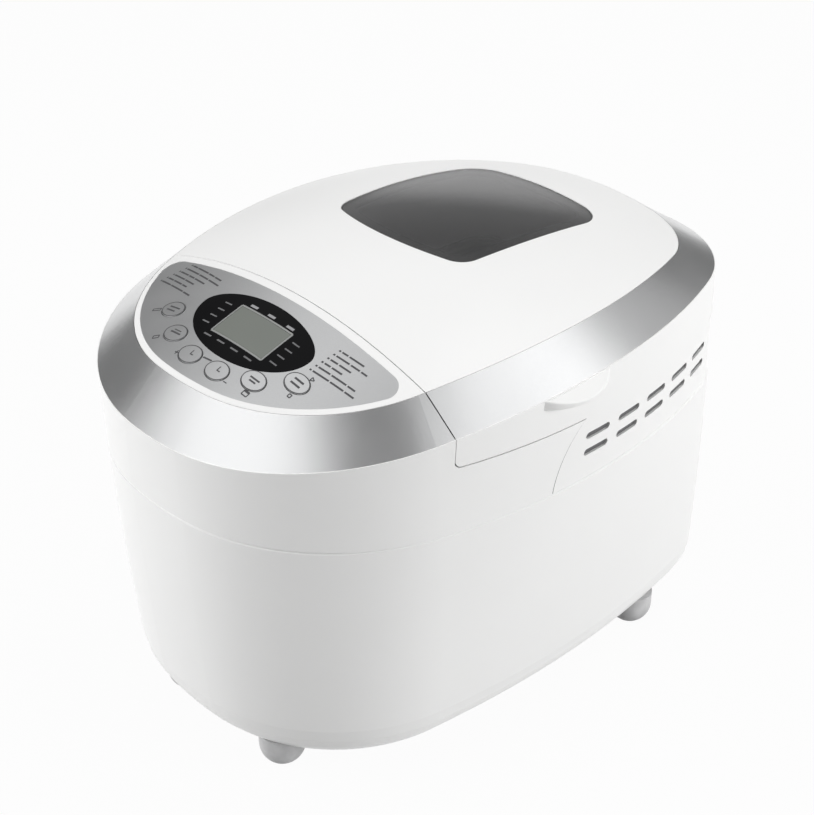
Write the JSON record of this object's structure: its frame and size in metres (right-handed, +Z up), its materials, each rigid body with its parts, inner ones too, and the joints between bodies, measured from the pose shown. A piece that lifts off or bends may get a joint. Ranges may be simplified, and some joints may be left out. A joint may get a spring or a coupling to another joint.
{
  "type": "bread machine",
  "caption": "Free-standing bread maker with an oval white housing, silver band, crowned hinged lid with window, button panel, removable pan and belt-driven kneading paddle.",
  "frame": {"origin": "centre of the footprint on the worktop", "axes": "+Z up, front with the control panel towards -Y, finger tab and vents on +X, lid hinge on -X"},
  "size_m": [0.2973, 0.3624, 0.2762],
  "materials": {
    "white_shell": "smooth satin-gloss white",
    "silver_band": "metallic silver coat",
    "silver_panel": "fine metallic print",
    "dark_panel": "gloss",
    "lcd_pane": "clear pane over a grey-green display",
    "grey_button": "satin silver",
    "green_board": "laminate",
    "dark_plastic": "moulded",
    "sheet_steel": "galvanised sheet",
    "screw_steel": "plated",
    "foot_rubber": "matt",
    "seal_rubber": "silicone",
    "belt_rubber": "matt",
    "heater_steel": "oxidised sheath",
    "ceramic": "ceramic",
    "motor_case": "die-cast",
    "pulley_plastic": "moulded nylon",
    "cast_drive": "die-cast",
    "bush_bronze": "sintered",
    "pan_coat": "dark non-stick coat",
    "window_tint": "dark tint",
    "clear_glass": "clear",
    "spring_steel": "polished"
  },
  "bodies": {
    "housing": {"lower_housing": "white_shell", "upper_housing": "white_shell", "base_plate": "sheet_steel", "rubber_feet": "foot_rubber", "base_screws": "screw_steel", "front_band": "silver_band", "control_deck": "white_shell", "control_overlay": "silver_panel", "display_panel": "dark_panel", "lcd_glass": "lcd_pane", "lcd_module": "dark_plastic", "control_board": "green_board", "button_switches": "dark_plastic", "power_board": "green_board", "power_transformer": "dark_plastic", "chamber_deck": "white_shell", "baking_chamber": "sheet_steel", "chamber_brackets": "sheet_steel", "heating_element": "heater_steel", "heater_insulators": "ceramic", "temperature_sensor": "screw_steel", "thermal_fuse": "ceramic", "chassis_plate": "sheet_steel", "chassis_posts": "sheet_steel", "chassis_screws": "screw_steel", "motor_body": "motor_case", "motor_screws": "screw_steel", "drive_belt": "belt_rubber", "bearing_housing": "cast_drive", "bearing_bushes": "bush_bronze", "pan_clips": "spring_steel", "hinge_pins": "spring_steel", "cord_gland": "dark_plastic"},
    "lid": {"lid_top": "white_shell", "lid_band": "silver_band", "lid_skirt": "white_shell", "lid_liner": "white_shell", "window_glass": "window_tint", "window_frame": "dark_plastic", "inner_glass": "clear_glass"},
    "drive": {"large_pulley": "pulley_plastic", "drive_shaft": "spring_steel", "drive_dog": "cast_drive"},
    "motor_rotor": {"motor_shaft": "spring_steel", "small_pulley": "cast_drive"},
    "pan": {"bread_pan": "pan_coat", "pan_base_ring": "cast_drive", "pan_ears": "pan_coat", "pan_bush": "bush_bronze", "pan_seal": "seal_rubber"},
    "handle": {"pan_handle": "spring_steel"},
    "kneader": {"pan_shaft": "spring_steel", "pan_coupling": "cast_drive", "kneading_paddle": "pan_coat"},
    "program_button": {"program_button": "grey_button"},
    "crust_button": {"crust_button": "grey_button"},
    "timer_up_button": {"timer_up_button": "grey_button"},
    "timer_down_button": {"timer_down_button": "grey_button"},
    "loaf_size_button": {"loaf_size_button": "grey_button"},
    "start_stop_button": {"start_stop_button": "grey_button"}
  },
  "joints": [
    {"name": "lid_hinge", "type": "hinge", "parent": "housing", "child": "lid", "pos_m": [-0.1433, 0, 0.2114], "axis": [0, -1, 0], "range_deg": [0, 95]},
    {"name": "drive_spin", "type": "hinge", "parent": "housing", "child": "drive", "pos_m": [0, 0.048, 0.028], "axis": [0, 0, 1], "continuous": true},
    {"name": "motor_spin", "type": "hinge", "parent": "housing", "child": "motor_rotor", "pos_m": [0, -0.112, 0.028], "axis": [0, 0, 1], "continuous": true},
    {"name": "pan_lift", "type": "slide", "parent": "housing", "child": "pan", "axis": [0, 0, 1], "range_m": [0, 0.008]},
    {"name": "paddle_spin", "type": "hinge", "parent": "pan", "child": "kneader", "pos_m": [0, 0.048, 0.09], "axis": [0, 0, 1], "continuous": true},
    {"name": "handle_swing", "type": "hinge", "parent": "pan", "child": "handle", "pos_m": [0, 0.048, 0.182], "axis": [0, -1, 0], "range_deg": [0, 8]},
    {"name": "program_button_press", "type": "slide", "parent": "housing", "child": "program_button", "axis": [0, 0, -1], "range_m": [0, 0.001], "stiffness_N_per_m": 400},
    {"name": "crust_button_press", "type": "slide", "parent": "housing", "child": "crust_button", "axis": [0, 0, -1], "range_m": [0, 0.001], "stiffness_N_per_m": 400},
    {"name": "timer_up_button_press", "type": "slide", "parent": "housing", "child": "timer_up_button", "axis": [0, 0, -1], "range_m": [0, 0.001], "stiffness_N_per_m": 400},
    {"name": "timer_down_button_press", "type": "slide", "parent": "housing", "child": "timer_down_button", "axis": [0, 0, -1], "range_m": [0, 0.001], "stiffness_N_per_m": 400},
    {"name": "loaf_size_button_press", "type": "slide", "parent": "housing", "child": "loaf_size_button", "axis": [0, 0, -1], "range_m": [0, 0.001], "stiffness_N_per_m": 400},
    {"name": "start_stop_button_press", "type": "slide", "parent": "housing", "child": "start_stop_button", "axis": [0, 0, -1], "range_m": [0, 0.001], "stiffness_N_per_m": 400}
  ],
  "couplings": [
    {"joint": "motor_spin", "follows": "drive_spin", "ratio": 5},
    {"joint": "paddle_spin", "follows": "drive_spin", "ratio": 1}
  ]
}
